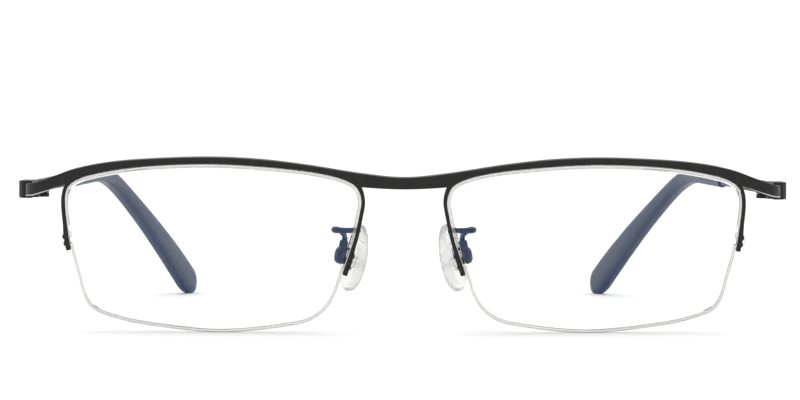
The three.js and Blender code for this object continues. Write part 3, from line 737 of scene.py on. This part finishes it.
def rim_liner():
    path = OUTLINE - OUTLINE_NORMAL * LINER_INSET
    limit = np.where(OUTLINE[:, 0] < LENS_CENTRE[0], NASAL_HOLES[1], TEMPORAL_HOLES[1]) + 2
    path = path[(np.arange(len(path)) < RIM_END) & (path[:, 1] > limit)]
    return tube(front_point(path[:, 0], path[:, 1], RIM_DEPTH / 2), CORD_RADIUS, 12)


def lenses():
    shapes = {
        "lens_fine": (lens_shape(), LENS, "lens", "lens"),
        "lens_edging": (lens_edging(), EDGE, "lens", "lens"),
        "lens_front_land": (ground_edge(LENS_FRONT, GROOVE_FRONT), GROUND, "lens", "lens"),
        "lens_back_land": (ground_edge(LENS_BACK, GROOVE_BACK), GROUND, "lens", "lens"),
        "lens_cord_fine": (lens_cord(), NYLON, "nylon", "lens_cord"),
        "rim_liner_fine": (rim_liner(), NYLON, "nylon", "rim_liner"),
    }
    for name, (shape, material, slot, node) in shapes.items():
        for side in ("left", "right"):
            piece = new_piece(f"{side}_{name}", *for_side(shape, side), material, "front", slot)
            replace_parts(piece, f"{side}_{node}")


# ------------------------------------------------------------------ temples
def temple_path(step=0.25):
    """The temple's middle line: place, outward and up at each step."""
    place = np.array(TEMPLE_START)
    rows = []
    for i in range(int(TEMPLE_LENGTH / step) + 2):
        s = i * step
        bend = smoothstep(s, BEND_START, BEND_END)
        heading = lerp(*TEMPLE_SWEEP, bend)
        past_bend = np.clip((s - BEND_END) / (TEMPLE_LENGTH - BEND_END), 0, 1)
        pitch = lerp(TEMPLE_DROP[0], lerp(TEMPLE_DROP[1], TEMPLE_DROP[2], past_bend), bend)
        level = np.array([-math.sin(heading), math.cos(heading), 0])
        along = level * math.cos(pitch) - np.array([0, 0, math.sin(pitch)])
        out = np.array([math.cos(heading), math.sin(heading), 0])
        rows.append(np.concatenate([[s], place, out, np.cross(out, along)]))
        place = place + along * step
    return np.array(rows)


TEMPLE = temple_path()


def temple_ring(s, outline):
    row = [np.interp(s, TEMPLE[:, 0], TEMPLE[:, i]) for i in range(1, 10)]
    place, out, up = np.array(row[:3]), np.array(row[3:6]), np.array(row[6:])
    return [place + out * x + up * z for x, z in outline]


def arm_outline(s):
    if s > TIP_START - SHOULDER_GAP:
        x, z = CORE_THICKNESS / 2, CORE_HEIGHT / 2
        return rounded_rectangle(-x, x, -z, z, 0.2)
    slimmed = smoothstep(s, BLOCK_END, STRIP_START)
    inner = lerp(BLOCK_THICKNESS, STRIP_THICKNESS, slimmed) - STRIP_THICKNESS / 2
    chamfer = BUTT_CHAMFER * max(0.0, 1 - s)
    half = lerp(BLOCK_HEIGHT, STRIP_HEIGHT, slimmed) / 2
    shy = BUTT_BREAK * max(0.0, 1 - s / BUTT_BREAK)  # the butt face has broken edges too
    outer = STRIP_THICKNESS / 2 - chamfer
    return rounded_rectangle(-inner + shy, outer - shy, -half + shy, half - shy, 0.22)


def temple_arm():
    shoulder = TIP_START - SHOULDER_GAP
    stations = np.concatenate([
        [0, 0.05, 0.12, 0.3, 0.6, 0.9, 1.0, 1.2, 2, 3.5], np.arange(BLOCK_END, STRIP_START + 0.5, 0.4),
        np.arange(13, 52, 3), [shoulder, shoulder + 0.01], np.arange(TIP_START, CORE_END, 1.5),
    ])
    return loft([temple_ring(s, arm_outline(s)) for s in stations])


def superellipse(half_thickness, top, bottom, power=0.7, count=40):
    angles = np.linspace(0, 2 * np.pi, count, endpoint=False)
    cos, sin = np.cos(angles), np.sin(angles)
    x = half_thickness * np.sign(cos) * np.abs(cos) ** power
    z = np.where(sin > 0, top, bottom) * np.sign(sin) * np.abs(sin) ** power
    return list(zip(x, z))


def tip_ring(s, shrink=1.0):
    rise = smoothstep(s, WIDENING_START, WIDENING_END) ** 1.2
    half = lerp(*SLEEVE_HEIGHT, rise) / 2 * shrink
    thickness = lerp(*SLEEVE_THICKNESS, smoothstep(s, TIP_START, TIP_START + 16)) * shrink

    def rounding(length):
        past = np.clip((s - (TEMPLE_LENGTH - length)) / length, 0, 0.9995)
        return math.sqrt(1 - past * past)

    top, bottom = half * rounding(TIP_TOP_ROUND), half * rounding(TIP_BOTTOM_ROUND)
    half_thickness = thickness / 2 * math.sqrt(rounding(TIP_TOP_ROUND))
    return temple_ring(s, superellipse(half_thickness, top, bottom))


def temple_tip():
    """The sleeve: in through its mouth to a blind hole, and out over its rounded lip."""
    half = CORE_HEIGHT / 2 + SLEEVE_CLEARANCE
    hole = superellipse(CORE_THICKNESS / 2 + SLEEVE_CLEARANCE, half, half, power=0.4)
    near_end = TEMPLE_LENGTH - TIP_TOP_ROUND * (1 - np.sin(np.linspace(0, math.pi / 2, 16)))
    rings = [temple_ring(s, hole) for s in (TIP_START + 6, TIP_START + 3, TIP_START + 0.3)]
    rings += [tip_ring(TIP_START, 0.82), tip_ring(TIP_START + 0.06, 0.93), tip_ring(TIP_START + 0.25)]
    rings += [tip_ring(s) for s in np.arange(TIP_START + 1, TEMPLE_LENGTH - TIP_TOP_ROUND, 1.0)]
    rings += [tip_ring(s) for s in near_end]
    return loft(rings)


def temples():
    arm, tip = temple_arm(), temple_tip()
    for side in ("left", "right"):
        body = f"{side}_temple"
        strip = new_piece(f"{side}_temple_strip", *for_side(arm, side), BLACK, body, "black_metal")
        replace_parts(strip, f"{side}_temple_arm")
        sleeve = new_piece(f"{side}_temple_sleeve", *for_side(tip, side), TIP, body, "black_plastic", 60)
        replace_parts(sleeve, f"{side}_temple_tip")


# ------------------------------------------------------------------ nose pads
def pad_matrix():
    turn = Matrix.Rotation(math.pi / 2 - PAD_SPLAY, 4, "Z") @ Matrix.Rotation(-PAD_TILT, 4, "X")
    return Matrix.Translation(Vector(front_point(PAD_U, PAD_H, PAD_W))) @ turn


PAD_MATRIX = pad_matrix()


def in_pad(x, y, z):
    return tuple(PAD_MATRIX @ Vector((x, y, z)))


def pad_shape():
    """A soft teardrop: crowned where it meets the nose, rounded edge, flatter back."""
    profile = [  # share of the outline, share of the half thickness
        (0.05, -0.93), (0.3, -0.95), (0.55, -0.98), (0.74, -1), (0.84, -0.97), (0.92, -0.84),
        (0.97, -0.62), (0.995, -0.35), (1.0, -0.08), (0.99, 0.15), (0.96, 0.36), (0.9, 0.56),
        (0.8, 0.73), (0.66, 0.86), (0.5, 0.94), (0.3, 0.985), (0.05, 1),
    ]
    angles = np.linspace(0, 2 * np.pi, 72, endpoint=False)
    x = PAD_HALF_WIDTH * np.cos(angles) * (1 - PAD_TAPER * np.sin(angles))
    z = PAD_HALF_LENGTH * np.sin(angles)
    return loft([
        [in_pad(a * scale, y * PAD_HALF_THICKNESS, b * scale) for a, b in zip(x, z)] for scale, y in profile
    ])


def pad_arm_shape():
    """The wire, soldered to the back of the leg, with its collar at the box."""
    down = [in_pad(0, CUP_BACK + 1.1, height) for height in (3.2, CUP_HALF_HEIGHT - 0.15)]
    knots = [*(front_point(*place) for place in WIRE_ROUTE), *down]
    points = spaced(centripetal(knots, closed=False), 120)
    at = np.linspace(0, 1, len(points))
    knee = 0.1 * np.exp(-((at - 0.4) / 0.12) ** 2)
    collar = 0.3 * smoothstep(at, 0.9, 0.915)
    return tube(points, WIRE_RADIUS + knee + collar, 20)


def pad_box_shape():
    """The little cup that holds the pad: rounded back, open towards the pad."""
    profile = [  # share of the section, place along the cup, wall taken off
        (0.3, CUP_BACK, 0), (0.62, CUP_BACK + 0.07, 0), (0.84, CUP_BACK + 0.3, 0),
        (0.96, CUP_BACK + 0.65, 0), (1, CUP_BACK + 1.1, 0), (1, CUP_MOUTH - 0.25, 0),
        (0.98, CUP_MOUTH - 0.06, 0), (0.94, CUP_MOUTH, 0.05), (1, CUP_MOUTH - 0.03, CUP_WALL),
        (1, CUP_BACK + 0.9, CUP_WALL), (0.96, CUP_BACK + 0.6, CUP_WALL),
    ]
    rings = []
    for share, y, wall in profile:
        half_x, half_z = CUP_HALF_WIDTH * share - wall, CUP_HALF_HEIGHT * share - wall
        rings.append([in_pad(x, y, z) for x, z in superellipse(half_x, half_z, half_z, 0.62)])
    return loft(rings)


def pads():
    pad, arm, cup = pad_shape(), pad_arm_shape(), pad_box_shape()
    for side in ("left", "right"):
        box = new_piece(f"{side}_pad_cup", *for_side(cup, side), BLACK, "front", "steel", 60)
        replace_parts(box, f"{side}_pad_box")
        soft = new_piece(f"{side}_soft_pad", *for_side(pad, side), SILICONE, f"{side}_pad", "silicone", 80)
        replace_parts(soft, f"{side}_nose_pad")
        wire = new_piece(f"{side}_pad_wire", *for_side(arm, side), BLACK, "front", "steel", 60)
        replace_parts(wire, f"{side}_pad_arm")


# ------------------------------------------------------------------ small CAD pieces that stay
def dress(node, material, edge=0.08):
    """A CAD piece gets its material, and a fine bevel on its sharp edges."""
    piece = frame["nodes"][node]
    piece.data.materials.clear()
    piece.data.materials.append(material)
    weld = piece.modifiers.new("weld", "WELD")
    weld.merge_threshold = 1e-6
    bevel = piece.modifiers.new("bevel", "BEVEL")
    bevel.width = edge * MM
    bevel.segments = 3
    bevel.limit_method = "ANGLE"
    bevel.angle_limit = math.radians(40)
    bevel.use_clamp_overlap = True
    for polygon in piece.data.polygons:
        polygon.use_smooth = True
    bevel.harden_normals = True


def small_pieces():
    looks = {
        "hinge_front_leaf": (BLACK, 0.12), "hinge_temple_leaf": (BLACK, 0.12), "hinge_screw": (STEEL, 0.05),
        "pad_screw": (STEEL, 0.04), "pad_insert": (CLEAR, 0.06),
    }
    for name, (material, edge) in looks.items():
        for side in ("left", "right"):
            dress(f"{side}_{name}", material, edge)


# ------------------------------------------------------------------ table, light and camera
def table():
    mesh = bpy.data.meshes.new("table")
    corners = [(-TABLE_HALF, -TABLE_HALF), (TABLE_HALF, -TABLE_HALF), (TABLE_HALF, TABLE_HALF),
               (-TABLE_HALF, TABLE_HALF)]
    mesh.from_pydata([(x, y, 0) for x, y in corners], [], [(0, 1, 2, 3)])
    material, shader = principled("white_table", Roughness=0.7, Specular_IOR_Level=0.2)
    paper = ramp(material, noise(material, 40, 3), 0.3, 0.7, (0.93, 0.93, 0.93), (0.95, 0.95, 0.95))
    material.node_tree.links.new(paper, shader.inputs["Base Color"])
    mesh.materials.append(material)
    top = bpy.data.objects.new("table", mesh)
    bpy.context.scene.collection.objects.link(top)


def studio():
    world = bpy.data.worlds.new("studio")
    bpy.context.scene.world = world
    world.use_nodes = True
    sky = world.node_tree.nodes["Background"]
    sky.inputs["Color"].default_value = (1, 1, 1, 1)
    sky.inputs["Strength"].default_value = SKY_STRENGTH
    light = bpy.data.lights.new("overhead", "AREA")
    light.shape = "RECTANGLE"
    light.size, light.size_y = 1.6, 1.0
    light.energy = LAMP_WATTS
    lamp = bpy.data.objects.new("overhead", light)
    lamp.location = (0, 0.25, 1.3)
    bpy.context.scene.collection.objects.link(lamp)
    bpy.context.scene.view_settings.view_transform = "Standard"


def camera():
    lens = bpy.data.cameras.new("camera")
    lens.sensor_width = 36.0
    lens.lens = FOCAL_LENGTH
    lens.clip_start, lens.clip_end = 0.05, 20
    eye = bpy.data.objects.new("camera", lens)
    from_front = Matrix.Rotation(-EYE_LEFT, 3, "Z") @ Vector((EYE_ASIDE, -EYE_DISTANCE, EYE_HEIGHT))
    eye.location = (from_front + Vector(SHIFT * (0, 1, 0))) * MM
    level = Euler((math.pi / 2 - EYE_DOWN, 0, -EYE_LEFT)).to_matrix()
    eye.rotation_euler = (level @ Matrix.Rotation(EYE_TILT, 3, "Z")).to_euler()
    bpy.context.scene.collection.objects.link(eye)
    bpy.context.scene.camera = eye


camera()
table()
studio()
front_frame()
lenses()
temples()
pads()
small_pieces()
